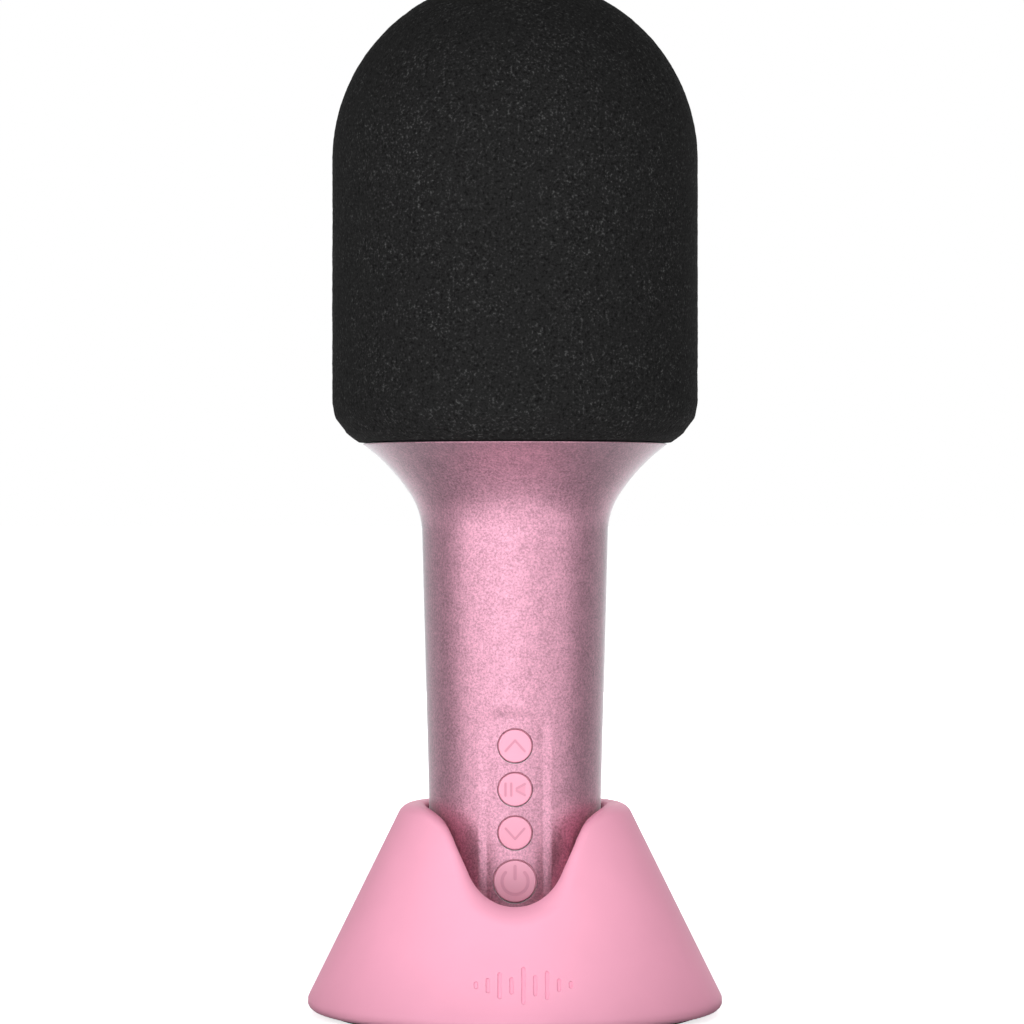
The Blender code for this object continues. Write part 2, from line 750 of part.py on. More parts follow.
# Internal leads
lead(
    "capsule_lead",
    [
        (0, 0, 188.1), (0, 0, 182), (8, 0, 172), (20, 0, 162), (28, 0, 157), (29.2, 0, 153),
        (29.2, 0, 147), (25, 0, 135), (20.5, 0, 124), (10, -0.7, 116), (6, -0.7, 112.9),
    ],
    "black_plastic", microphone,
)
lead(
    "speaker_lead",
    [
        (-19.4, 0, 141.6), (-22, 0, 139), (-22, 0, 131), (-18.5, 0, 122), (-10, -0.7, 116),
        (-5, -0.7, 112.9),
    ],
    "red_wire", microphone,
)
lead(
    "battery_lead",
    [(5, 8, 79.2), (5.4, 7, 81), (6.2, 4.2, 82.4), (6.4, 1.3, 83.2)],
    "red_wire", microphone, radius=0.6,
)
lead(
    "button_lead",
    [(0, -9.2, 72.8), (0, -8.4, 77), (0, -6.8, 82), (0, -4, 84.3), (0, -1.9, 84.3)],
    "black_plastic", microphone,
)

for obj in parts.objects:
    if obj.type == "MESH" and obj.data.polygons:
        obj.data.shade_smooth()
        obj.data.set_sharp_from_angle(angle=math.radians(35))
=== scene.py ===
"""Looks of the karaoke microphone and its table stand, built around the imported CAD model.

The foam, the handle, the stand, the buttons, the speaker surround and the pieces under the stand
and in the handle's end are rebuilt as fine meshes, close to their CAD solids. Every other CAD node
keeps its shape and gets a procedural material. Shapes are in millimetres, and lights and textures
in metres. Z is up and the buttons face -Y.
"""

import json
import math

import bmesh
import bpy
import numpy as np
from mathutils import Matrix, Vector, noise


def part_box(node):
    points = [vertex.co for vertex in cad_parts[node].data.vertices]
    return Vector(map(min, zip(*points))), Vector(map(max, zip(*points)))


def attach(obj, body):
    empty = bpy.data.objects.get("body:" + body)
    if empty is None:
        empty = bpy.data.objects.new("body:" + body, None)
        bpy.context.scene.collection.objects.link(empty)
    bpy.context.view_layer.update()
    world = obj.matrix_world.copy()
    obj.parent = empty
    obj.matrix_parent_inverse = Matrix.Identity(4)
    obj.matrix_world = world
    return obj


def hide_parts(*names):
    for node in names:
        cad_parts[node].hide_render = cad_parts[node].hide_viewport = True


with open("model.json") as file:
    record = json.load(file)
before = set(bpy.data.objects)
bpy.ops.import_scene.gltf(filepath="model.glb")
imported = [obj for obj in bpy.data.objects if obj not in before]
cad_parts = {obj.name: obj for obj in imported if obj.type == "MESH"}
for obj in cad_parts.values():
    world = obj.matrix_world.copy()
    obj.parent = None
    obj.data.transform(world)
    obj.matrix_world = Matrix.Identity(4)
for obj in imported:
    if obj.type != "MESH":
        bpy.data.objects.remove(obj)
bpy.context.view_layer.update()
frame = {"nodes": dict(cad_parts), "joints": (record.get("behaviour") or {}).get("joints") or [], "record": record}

MM = 0.001

# Camera: level, straight at the button column
CAMERA_DISTANCE = 918.0
CAMERA_HEIGHT = 114.78
CAMERA_ASIDE = -0.69
CAMERA_LENS = 140.6
CAMERA_SENSOR = 36.0

# Handle. The taper is the CAD model's own, and the flare is up to 0.4 mm off the CAD model's.
TAPER_TOP_Z = 110.3
TAPER_TOP_RADIUS = 21.34
TAPER_SLOPE = 0.0263
FLARE_LOWER_RADIUS = 16.5
FLARE_UPPER_RADIUS = 43.0
FLARE_JOIN_ANGLE = 33.0
HANDLE_WALL = 2.0
HANDLE_RIM_ROUND = 0.8
PORT_Y = -9.1
END_SCREW_X = 10

# Button panel: a shallow pocket with sloping sides that follows the handle
PANEL_HALF_WIDTH = 8.3
PANEL_TOP_Z = 71.4
PANEL_BOTTOM_Z = 22.1
PANEL_CORNER = 5.2
PANEL_SLOPE_WIDTH = 1.9
PANEL_TOP_SLOPE_WIDTH = 4.6
PANEL_DEPTH = 0.5

# Stand
STAND_BOTTOM_Z = 1.0
STAND_TOP_Z = 48.2
STAND_FOOT_RADIUS = 49.36
STAND_SLOPE = 0.4925
STAND_CORNER = 3.4
STAND_EDGE_ROUND = 2.0
NOTCH_FOOT_ROUND = 4.2
STAND_WALL = 3.2
INNER_EDGE_ROUND = 0.7
SOCKET_CLEARANCE = 0.6
SOCKET_FLOOR_Z = 4.9
SOCKET_WALL = 2.2
SOCKET_LIP_ROUND = 1.0
CUP_FLOOR_Z = 3.3
CAVITY_TOP_Z = 42.0
CAVITY_SKIRT = 43.6
NOTCH_CENTRE_Z = 39.05
NOTCH_RADIUS = 11.4
NOTCH_ANGLE = 64.0
NOTCH_SHOULDER_ROUND = 5.5
NOTCH_BACK_Y = -2.0
CUP_NOTCH_DROP = 2.6
CUP_NOTCH_TOP_Z = 39.0
CUP_NOTCH_RADIUS = 24.5
BOSS_CIRCLE_RADIUS = 33.0
BOSS_ANGLES = (45, 135, 225, 315)
BOSS_RADIUS = 3.6
BOSS_HOLE_RADIUS = 1.6
BOSS_HOLE_TOP_Z = 13.0
STAND_VOXEL = 1.05
REFINED_FROM_Z = 20
REFINED_HALF_WIDTH = 26
REFINE_ANGLES = (8, 6, 180)
FAR_AWAY = 1e3

# Sound-wave mark pressed into the stand's front
MARK_HEIGHTS = (1.4, 3.0, 5.4, 3.4, 7.6, 4.2, 5.8, 2.6, 1.4)
MARK_SPACING = 2.6
MARK_CENTRE_X = 1.8
MARK_CENTRE_Z = 11.2
MARK_STROKE = 0.75
MARK_DEPTH = 0.38
MARK_EDGE = 0.2
MARK_MARGIN = 0.6

# Head
HEAD_RADIUS = 42.0
HEAD_CENTRE_Z = 195.3
FOAM_THICKNESS = 4.0
FOAM_BOTTOM_Z = 130.75
FOAM_LUMP_HEIGHT = 0.14
FOAM_SINK = 0.1

# Buttons
BUTTONS = ("up", "play", "down", "power")
HOLE_CLEARANCE = 0.32
KEY_EDGE_ROUND = 0.28
KEY_SKIRT = 0.2
ICON_DEPTH = 0.14
ICON_STROKE = 0.52
ICON_FILL_DEPTH = 0.05

# Floor: its half width in mm, and how its glow rises between two distances in metres
FLOOR_REACH = 30000.0
FLOOR_GLOW_DISTANCES = (0.06, 0.3)
FLOOR_GLOW_STRENGTHS = (0.72, 1.0)

# Places of the colour sockets on Blender's Mix node
MIX_FIRST, MIX_SECOND, MIX_RESULT = 6, 7, 2


# ---------------------------------------------------------------- mesh helpers


def linear(colour):
    """Scene-linear RGB of sRGB channels from 0 to 255."""
    values = [channel / 255 for channel in colour]
    return [v / 12.92 if v <= 0.04045 else ((v + 0.055) / 1.055) ** 2.4 for v in values]


def add_object(name, mesh, material, body, slot, *nodes, place=None):
    """Links a finished mesh as a piece that rides on a body and stands for CAD nodes."""
    obj = bpy.data.objects.new(name, mesh)
    bpy.context.scene.collection.objects.link(obj)
    if material:
        mesh.materials.append(material)
    if place:
        obj.matrix_world = place
    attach(obj, body)
    if nodes:
        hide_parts(*nodes)
    return obj


def identity_placed(meshes):
    return [(mesh, Matrix()) for mesh in meshes]


def arc(centre, radius, start, end, count):
    """Points (radius, height) on an arc. Angles in degrees, from outward towards up."""
    angles = np.radians(np.linspace(start, end, count + 1))
    return [
        (centre[0] + radius * math.cos(a), centre[1] + radius * math.sin(a)) for a in angles
    ]


def revolve(name, outline, angles, shift=None):
    """Turns a clockwise outline of (radius, height) points, in mm, about Z at the given angles.

    An outline that starts and ends on the axis is closed there, and any other is a ring. shift
    takes the points' x, y, z arrays and returns moved ones.
    """
    capped = outline[0][0] < 1e-6
    rings = outline[1:-1] if capped else outline
    radius, height = np.array(rings).T
    cos, sin = np.cos(angles), np.sin(angles)
    x = np.outer(radius, cos).ravel()
    y = np.outer(radius, sin).ravel()
    z = np.repeat(height, len(angles))
    if shift:
        x, y, z = shift(x, y, z)
    points = np.column_stack([x, y, z])
    count, columns = len(rings), len(angles)
    faces = []
    for i in range(count if not capped else count - 1):
        a, b = i * columns, (i + 1) % count * columns
        for j in range(columns):
            k = (j + 1) % columns
            faces.append((a + j, b + j, b + k, a + k))
    if capped:
        points = np.vstack([points, [(0, 0, outline[0][1]), (0, 0, outline[-1][1])]])
        top, bottom = len(points) - 2, len(points) - 1
        last = (count - 1) * columns
        for j in range(columns):
            k = (j + 1) % columns
            faces.append((top, j, k))
            faces.append((bottom, last + k, last + j))
    mesh = bpy.data.meshes.new(name)
    mesh.from_pydata((points * MM).tolist(), [], faces)
    return mesh


def even_angles(count):
    return np.linspace(0, 2 * math.pi, count, endpoint=False)


def smooth(mesh, angle=30.0):
    mesh.shade_smooth()
    mesh.set_sharp_from_angle(angle=math.radians(angle))
    return mesh


def prism(name, outline, low, high, material=None):
    """An upright solid: an outline of (x, y) points in mm between two heights.

    Its points and faces are listed here, in a fixed order, because the order that bmesh extrudes
    in changes from run to run, and the Booleans' results change with it.
    """
    ring = np.array(outline, dtype=float)
    x, y = ring.T
    if (x * np.roll(y, -1) - y * np.roll(x, -1)).sum() < 0:
        ring = ring[::-1]
    count = len(ring)
    points = [(x * MM, y * MM, z * MM) for z in (low, high) for x, y in ring.tolist()]
    faces = [tuple(reversed(range(count))), tuple(range(count, 2 * count))]
    for i in range(count):
        j = (i + 1) % count
        faces.append((i, j, count + j, count + i))
    mesh = bpy.data.meshes.new(name)
    mesh.from_pydata(points, [], faces)
    if material:
        mesh.materials.append(material)
    return mesh


def cut(mesh, cutters):
    """Cuts (mesh, matrix) pairs out of a mesh and returns the result. All are in one space."""
    scene = bpy.context.scene.collection
    target = bpy.data.objects.new("cut_target", mesh)
    scene.objects.link(target)
    helpers = []
    for index, (cutter, matrix) in enumerate(cutters):
        helper = bpy.data.objects.new(f"cut_{index}", cutter)
        helper.matrix_world = matrix
        scene.objects.link(helper)
        helpers.append(helper)
        boolean = target.modifiers.new("cut", "BOOLEAN")
        boolean.operation = "DIFFERENCE"
        boolean.solver = "EXACT"
        boolean.material_mode = "TRANSFER"
        boolean.object = helper
    bpy.context.view_layer.update()
    evaluated = target.evaluated_get(bpy.context.evaluated_depsgraph_get())
    result = bpy.data.meshes.new_from_object(evaluated)
    for helper in helpers:
        bpy.data.objects.remove(helper)
    bpy.data.objects.remove(target)
    result.name = mesh.name
    return result


def circle(radius, count=48, centre=(0, 0)):
    return [
        (centre[0] + radius * math.cos(a), centre[1] + radius * math.sin(a))
        for a in even_angles(count)
    ]


def rounded_rectangle(half_width, half_height, corner, centre=(0, 0), count=6):
    outline = []
    for sign_x, sign_y, start in ((1, 1, 0), (-1, 1, 90), (-1, -1, 180), (1, -1, 270)):
        middle = (
            centre[0] + sign_x * (half_width - corner),
            centre[1] + sign_y * (half_height - corner),
        )
        outline += arc(middle, corner, start, start + 90, count)
    return outline


def softened(outline, radius, count=4):
    """The outline with every corner rounded, except where it meets the axis."""
    points = [Vector(p) for p in outline]
    result = []
    for i, corner in enumerate(points):
        before, after = points[i - 1], points[(i + 1) % len(points)]
        if corner.x < 1e-6:
            result.append(tuple(corner))
            continue
        inward, outward = (before - corner), (after - corner)
        reach = min(radius, inward.length * 0.45, outward.length * 0.45)
        start = corner + inward.normalized() * reach
        end = corner + outward.normalized() * reach
        for step in range(count + 1):
            t = step / count
            point = start * (1 - t) ** 2 + corner * 2 * t * (1 - t) + end * t**2
            result.append(tuple(point))
    return result


# ---------------------------------------------------------------- materials


class Shader:
    """A Principled material under construction, with its texture coordinates in metres."""

    def __init__(self, name, roughness, metallic=0.0, specular=0.5):
        self.material = bpy.data.materials.new(name)
        self.material.use_nodes = True
        self.tree = self.material.node_tree
        self.principled = self.tree.nodes["Principled BSDF"]
        self.principled.inputs["Roughness"].default_value = roughness
        self.principled.inputs["Metallic"].default_value = metallic
        self.principled.inputs["Specular IOR Level"].default_value = specular
        self.place = self.tree.nodes.new("ShaderNodeTexCoord").outputs["Object"]

    def link(self, output, socket):
        self.tree.links.new(output, self.principled.inputs[socket])

    def noise(self, size_mm, detail=3.0, rough=0.55):
        """Noise whose features are about size_mm across."""
        node = self.tree.nodes.new("ShaderNodeTexNoise")
        node.inputs["Scale"].default_value = 1 / (size_mm * MM)
        node.inputs["Detail"].default_value = detail
        node.inputs["Roughness"].default_value = rough
        self.tree.links.new(self.place, node.inputs["Vector"])
        return node.outputs["Fac"]

    def remap(self, value, low, high, to_low=0.0, to_high=1.0):
        node = self.tree.nodes.new("ShaderNodeMapRange")
        node.inputs["From Min"].default_value = low
        node.inputs["From Max"].default_value = high
        node.inputs["To Min"].default_value = to_low
        node.inputs["To Max"].default_value = to_high
        self.tree.links.new(value, node.inputs["Value"])
        return node.outputs["Result"]

    def mix(self, factor, first, second):
        """Mixes two colours, each an RGB list or an output, by a 0 to 1 value."""
        node = self.tree.nodes.new("ShaderNodeMix")
        node.data_type = "RGBA"
        self.tree.links.new(factor, node.inputs["Factor"])
        for place, colour in ((MIX_FIRST, first), (MIX_SECOND, second)):
            socket = node.inputs[place]
            if isinstance(colour, bpy.types.NodeSocket):
                self.tree.links.new(colour, socket)
            else:
                socket.default_value = (*colour, 1)
        return node.outputs[MIX_RESULT]

    def combine(self, operation, first, second):
        """A Math node on an output and a second output or number."""
        node = self.tree.nodes.new("ShaderNodeMath")
        node.operation = operation
        self.tree.links.new(first, node.inputs[0])
        if isinstance(second, bpy.types.NodeSocket):
            self.tree.links.new(second, node.inputs[1])
        else:
            node.inputs[1].default_value = second
        return node.outputs[0]

    def add(self, first, second):
        return self.combine("ADD", first, second)

    def multiply(self, first, second):
        return self.combine("MULTIPLY", first, second)

    def bump(self, height, distance_mm, strength=1.0):
        node = self.tree.nodes.new("ShaderNodeBump")
        node.inputs["Distance"].default_value = distance_mm * MM
        node.inputs["Strength"].default_value = strength
        self.tree.links.new(height, node.inputs["Height"])
        self.link(node.outputs["Normal"], "Normal")


def scaled(colour, factor):
    return [min(channel * factor, 1.0) for channel in colour]


def plain_finish(name, colour, roughness, metallic=0.0, grain=0.5, spread=0.08, bump=0.01):
    """A moulded or machined finish: fine grain in colour, roughness and surface."""
    shader = Shader(name, roughness, metallic)
    base = linear(colour)
    fine = shader.noise(grain)
    broad = shader.noise(grain * 40, detail=2.0)
    value = shader.multiply(shader.add(fine, broad), 0.5)
    mixed = shader.mix(
        shader.remap(value, 0.3, 0.7), scaled(base, 1 - spread), scaled(base, 1 + spread)
    )
    shader.link(mixed, "Base Color")
    shader.link(
        shader.remap(fine, 0.3, 0.7, roughness * 0.88, min(roughness * 1.12, 1.0)), "Roughness"
    )
    shader.bump(fine, bump)
    return shader.material


def lacquer_material():
    """Pink metallic lacquer with a fine blasted grain and a grey bloom at grazing angles."""
    shader = Shader("pink_lacquer", 0.48, metallic=0.85, specular=0.4)
    base = linear((193, 142, 161))
    grain = shader.noise(0.5, detail=2.0, rough=0.8)
    patches = shader.noise(3.0, detail=3.0)
    value = shader.add(shader.multiply(grain, 0.8), shader.multiply(patches, 0.2))
    mixed = shader.mix(shader.remap(value, 0.36, 0.64), scaled(base, 0.66), scaled(base, 1.3))
    shader.link(mixed, "Base Color")
    shader.link(shader.remap(grain, 0.3, 0.7, 0.43, 0.53), "Roughness")
    shader.bump(grain, 0.08, 0.6)
    shader.principled.inputs["Sheen Weight"].default_value = 1.0
    shader.principled.inputs["Sheen Roughness"].default_value = 0.4
    shader.principled.inputs["Sheen Tint"].default_value = (0.64, 0.78, 0.76, 1)
    return shader.material


def satin_material(name, colour, spread=0.02):
    """Soft-touch pink plastic of the stand and the buttons."""
    shader = Shader(name, 0.52, specular=0.4)
    base = linear(colour)
    broad = shader.noise(14.0, detail=2.0)
    mixed = shader.mix(
        shader.remap(broad, 0.3, 0.7), scaled(base, 1 - spread), scaled(base, 1 + spread)
    )
    shader.link(mixed, "Base Color")
    fine = shader.noise(0.22, detail=2.0)
    shader.link(shader.remap(fine, 0.3, 0.7, 0.48, 0.58), "Roughness")
    shader.bump(fine, 0.006, 0.6)
    return shader.material


def foam_material():
    """Black open-cell foam, matte and mottled, with painted pit shade and painted highlight flecks."""
    shader = Shader("black_foam", 0.95, specular=0.12)
    # The pits are painted shade and the flecks are painted highlights of the cell walls. The ground is the foam's
    # own black.
    pit_shade, ground, fleck_highlight = linear((10, 10, 10)), linear((26, 26, 26)), linear((76, 76, 76))
    crumbs = shader.noise(1.1, detail=3.0, rough=0.8)
    grain = shader.noise(0.55, detail=1.0)
    patches = shader.noise(9.0, detail=3.0, rough=0.6)
    value = shader.add(shader.multiply(crumbs, 0.6), shader.multiply(grain, 0.4))
    ground_and_pit_shade = shader.mix(shader.remap(value, 0.34, 0.47), pit_shade, ground)
    # The painted highlight flecks thin out and thicken in broad random patches.
    fleck_patchiness = shader.remap(patches, 0.35, 0.65, 0.3, 1.0)
    highlight_flecks = shader.multiply(shader.remap(value, 0.56, 0.74), fleck_patchiness)
    shader.link(shader.mix(highlight_flecks, ground_and_pit_shade, fleck_highlight), "Base Color")
    shader.bump(value, 0.5, 0.8)
    return shader.material


SLOT_FINISHES = {
    "black_plastic": dict(colour=(30, 30, 32), roughness=0.48),
    "white_plastic": dict(colour=(226, 226, 222), roughness=0.4),
    "dark_rubber": dict(colour=(40, 38, 40), roughness=0.8, grain=0.3, bump=0.03),
    "steel": dict(colour=(178, 180, 184), roughness=0.32, metallic=1.0, grain=0.25),
    "zinc": dict(colour=(152, 156, 162), roughness=0.4, metallic=1.0, grain=0.3),
    "paper_cone": dict(colour=(48, 46, 46), roughness=0.85, grain=0.6, bump=0.04, spread=0.2),
    "copper": dict(colour=(190, 112, 70), roughness=0.35, metallic=1.0, grain=0.2),
    "ferrite": dict(colour=(60, 60, 64), roughness=0.7, grain=0.4, spread=0.15),
    "circuit_green": dict(colour=(24, 84, 54), roughness=0.35, grain=0.8, spread=0.15),
    "cell_wrap": dict(colour=(34, 98, 160), roughness=0.35, grain=2.0),
    "red_wire": dict(colour=(178, 34, 30), roughness=0.45),
}


def slot_materials():
    """One material for each of the record's slots, by slot name."""
    made = {
        "pink_lacquer": lacquer_material(),
        "pink_satin": satin_material("pink_satin", (249, 171, 197)),
        "pink_key": satin_material("pink_key", (237, 163, 186)),
        "black_foam": foam_material(),
    }
    for slot, finish in SLOT_FINISHES.items():
        made[slot] = plain_finish(slot, **finish)
    return made


materials = slot_materials()
# The darker pinks of the sunken icons are painted shade of their shallow recesses, not a different plastic.
icon_fill_shade_material = satin_material("icon_fill", (229, 154, 177))
icon_shade_material = satin_material("icon_shade", (214, 144, 166))
# The power key and its icon have their own copies of the key colours, tuned to the light in the notch where the
# key sits. This is painted light and shade, not a different plastic.
shaded_power_key_material = satin_material("power_key", (236, 168, 190))
shaded_power_icon_material = satin_material("power_icon_shade", (220, 152, 175))


def finish_cad_nodes():
    """Gives every CAD node the procedural material of its slot."""
    for entry in frame["record"]["subparts"]:
        node = frame["nodes"][entry["node"]]
        node.data.materials.clear()
        node.data.materials.append(materials[entry["material_slot"]])


# ---------------------------------------------------------------- foam windscreen


def foam_windscreen():
    """The foam cover: a domed sleeve with a chamfered lower edge and an uneven cut surface."""
    inner = HEAD_RADIUS - FOAM_THICKNESS
    outline = [
        *arc((0, HEAD_CENTRE_Z), HEAD_RADIUS, 90, 0, 96),
        *[(HEAD_RADIUS, z) for z in np.linspace(HEAD_CENTRE_Z - 0.7, 140.4, 78)],
        (41.95, 139.6), (41.8, 138.8), (41.6, 137.6), (41.45, 136.9), (41.2, 136.2),
        (40.7, 135.5), (39.9, 134.5), (39.15, 133.5), (38.7, 132.9), (38.0, 132.3),
        (37.1, 131.6), (36.3, 131.05), (35.85, FOAM_BOTTOM_Z), (35.0, FOAM_BOTTOM_Z),
        (34.2, FOAM_BOTTOM_Z), (34.2, 131.8), (inner - 0.1, 135.0),
        *arc((0, HEAD_CENTRE_Z), inner, 0, 90, 12),
    ]

    def uneven(x, y, z):
        points = np.column_stack([x, y, z])
        centre = np.column_stack(
            [np.zeros_like(x), np.zeros_like(x), np.minimum(z, HEAD_CENTRE_Z)]
        )
        outward = points - centre
        length = np.linalg.norm(outward, axis=1)
        outer = length > inner + 1
        rough = np.array([
            noise.noise(Vector(p) * 0.85) * 0.6 + noise.noise(Vector(p) * 0.2) * 0.4
            for p in points
        ])
        push = np.where(outer, rough * FOAM_LUMP_HEIGHT - FOAM_SINK, 0)
        moved = points + outward / np.maximum(length, 1e-6)[:, None] * push[:, None]
        keep = z < FOAM_BOTTOM_Z + 0.02
        return moved[:, 0], moved[:, 1], np.where(keep, z, moved[:, 2])

    mesh = smooth(revolve("foam_windscreen", outline, even_angles(380), uneven), 60)
    piece = add_object(
        "foam_windscreen", mesh, materials["black_foam"], "microphone", "black_foam",
        "windscreen_foam",
    )


# ---------------------------------------------------------------- handle


def handle_radius(z):
    return TAPER_TOP_RADIUS - TAPER_SLOPE * (TAPER_TOP_Z - z)


def flare(inset, top, lower_count, upper_count):
    """The flare's side from the top of the taper up to a height, inset by a wall."""
    taper = math.degrees(math.atan(TAPER_SLOPE))
    first = (
        TAPER_TOP_RADIUS + FLARE_LOWER_RADIUS * math.cos(math.radians(taper)),
        TAPER_TOP_Z - FLARE_LOWER_RADIUS * math.sin(math.radians(taper)),
    )
    join = math.radians(FLARE_JOIN_ANGLE)
    extra = FLARE_UPPER_RADIUS - FLARE_LOWER_RADIUS
    second = (first[0] + extra * math.cos(join), first[1] - extra * math.sin(join))
    end = math.degrees(math.asin((top - second[1]) / (FLARE_UPPER_RADIUS + inset)))
    lower = arc(
        first, FLARE_LOWER_RADIUS + inset, 180 - taper, 180 - FLARE_JOIN_ANGLE, lower_count
    )
    upper = arc(
        second, FLARE_UPPER_RADIUS + inset, 180 - FLARE_JOIN_ANGLE, 180 - end, upper_count
    )
    return lower + upper[1:]


def panel_inset(x, z):
    """Depth of the button pocket at points of the handle's front."""
    half_height = (PANEL_TOP_Z - PANEL_BOTTOM_Z) / 2
    from_middle = z - (PANEL_TOP_Z + PANEL_BOTTOM_Z) / 2
    dx = np.abs(x) - (PANEL_HALF_WIDTH - PANEL_CORNER)
    dz = np.abs(from_middle) - (half_height - PANEL_CORNER)
    outside = np.hypot(np.maximum(dx, 0), np.maximum(dz, 0))
    distance = outside + np.minimum(np.maximum(dx, dz), 0) - PANEL_CORNER
    to_top = np.clip((from_middle - half_height + PANEL_CORNER) / PANEL_CORNER, 0, 1)
    width = PANEL_SLOPE_WIDTH + (PANEL_TOP_SLOPE_WIDTH - PANEL_SLOPE_WIDTH) * to_top
    along = np.clip(-distance / width, 0, 1)
    eased = along * along * (3 - 2 * along)
    return PANEL_DEPTH * (0.7 * along + 0.3 * eased)


def handle_shell(key_frames):
    """The handle's shell, with the button pocket pressed into its front and four round holes."""
    low, high = (corner.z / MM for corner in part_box("handle_shell"))
    round_z = low + HANDLE_RIM_ROUND
    foot = (handle_radius(round_z) - HANDLE_RIM_ROUND, round_z)
    heights = [
        *np.arange(round_z, PANEL_BOTTOM_Z - 1, 1.6),
        *np.arange(PANEL_BOTTOM_Z - 1, PANEL_TOP_Z + 1, 0.3),
        *np.arange(PANEL_TOP_Z + 1, TAPER_TOP_Z - 1, 1.6),
    ]
    flare_side = flare(0, high - 0.25, 14, 26)
    inner_side = flare(HANDLE_WALL, high, 6, 8)
    outline = [
        *arc(foot, HANDLE_RIM_ROUND, -90, 0, 4)[:-1],
        *[(handle_radius(z), z) for z in heights],
        *flare_side,
        (flare_side[-1][0] + 0.05, high - 0.1),
        (flare_side[-1][0] - 0.1, high),
        *reversed(inner_side),
        (handle_radius(60) - HANDLE_WALL, 60),
        (handle_radius(low) - HANDLE_WALL, low),
    ]
    outline.reverse()
    front = -math.pi / 2
    half = math.asin((PANEL_HALF_WIDTH + 1.2) / handle_radius(60))
    fine = np.arange(-half, half, 0.25 / 20)
    coarse = np.linspace(half, 2 * math.pi - half, 150, endpoint=False)
    angles = front + np.concatenate([fine, coarse])

    def press(x, y, z):
        radius = np.hypot(x, y)
        outer = (radius > handle_radius(z) - HANDLE_WALL / 2) & (y < 0)
        inset = np.where(outer, panel_inset(x, z), 0)
        share = (radius - inset) / radius
        return x * share, y * share, z

    mesh = revolve("handle_body", outline, angles, press)
    lacquer = materials["pink_lacquer"]
    mesh.materials.append(lacquer)
    holes = []
    for matrix, radius in key_frames.values():
        hole = prism("hole", circle(radius + HOLE_CLEARANCE, 72), -6, 4, lacquer)
        holes.append((hole, matrix))
    mesh = smooth(cut(mesh, holes), 28)
    add_object("handle_body", mesh, None, "microphone", "pink_lacquer", "handle_shell")


# ---------------------------------------------------------------- buttons


def button_frames():
    """Matrix and cap radius of each button: X right, Y up the handle, Z out, at the cap's face."""
    found = {}
    for name in BUTTONS:
        joint = next(j for j in frame["joints"] if j["name"] == f"press_{name}")
        inward = Vector(joint["axis"]).normalized()
        points = np.array([v.co for v in frame["nodes"][f"button_{name}_cap"].data.vertices])
        depth = points @ np.array(inward)
        face = points[depth < depth.min() + 0.00005]
        centre = Vector((face.min(0) + face.max(0)) / 2)
        side = points[depth < depth.min() + 0.002]
        radius = float(side[:, 0].max()) / MM
        outward = -inward
        up = outward.cross(Vector((1, 0, 0)))
        rotation = Matrix((Vector((1, 0, 0)), up, outward)).transposed().to_4x4()
        found[name] = (Matrix.Translation(centre) @ rotation, radius)
    return found


def bar(start, end, width, count=8):
    """Outline of a straight stroke with round ends."""
    start, end = Vector(start), Vector(end)
    heading = math.degrees(math.atan2(end.y - start.y, end.x - start.x))
    return (
        arc(end, width / 2, heading - 90, heading + 90, count)
        + arc(start, width / 2, heading + 90, heading + 270, count)
    )


def ring_stroke(radius, width, start, end, count=28):
    """Outline of an arc-shaped stroke with round ends, from start to end degrees."""
    outer = arc((0, 0), radius + width / 2, start, end, count)
    inner = arc((0, 0), radius - width / 2, end, start, count)
    tip = (radius * math.cos(math.radians(end)), radius * math.sin(math.radians(end)))
    tail = (radius * math.cos(math.radians(start)), radius * math.sin(math.radians(start)))
    return (
        outer + arc(tip, width / 2, end, end + 180, 6)[1:-1]
        + inner + arc(tail, width / 2, start + 180, start + 360, 6)[1:-1]
    )


def icon_strokes(name):
    """Outlines in mm about the cap's middle, seen from the front."""
    if name == "up":
        ends = (-2.15, -1.15), (2.15, -1.15)
        return [bar(end, (0, 1.25), ICON_STROKE) for end in ends]
    if name == "down":
        ends = (-2.1, 1.0), (2.1, 1.0)
        return [bar(end, (0, -1.35), ICON_STROKE) for end in ends]
    if name == "play":
        bars = [bar((x, -1.35), (x, 1.35), ICON_STROKE) for x in (-2.15, -0.85)]
        sides = [bar((0.35, y), (2.2, y * 5), ICON_STROKE) for y in (0.25, -0.25)]
        return [*bars, *sides]
    return [ring_stroke(2.95, 0.72, 137, 403), bar((0, 0.6), (0, 3.4), 0.72)]


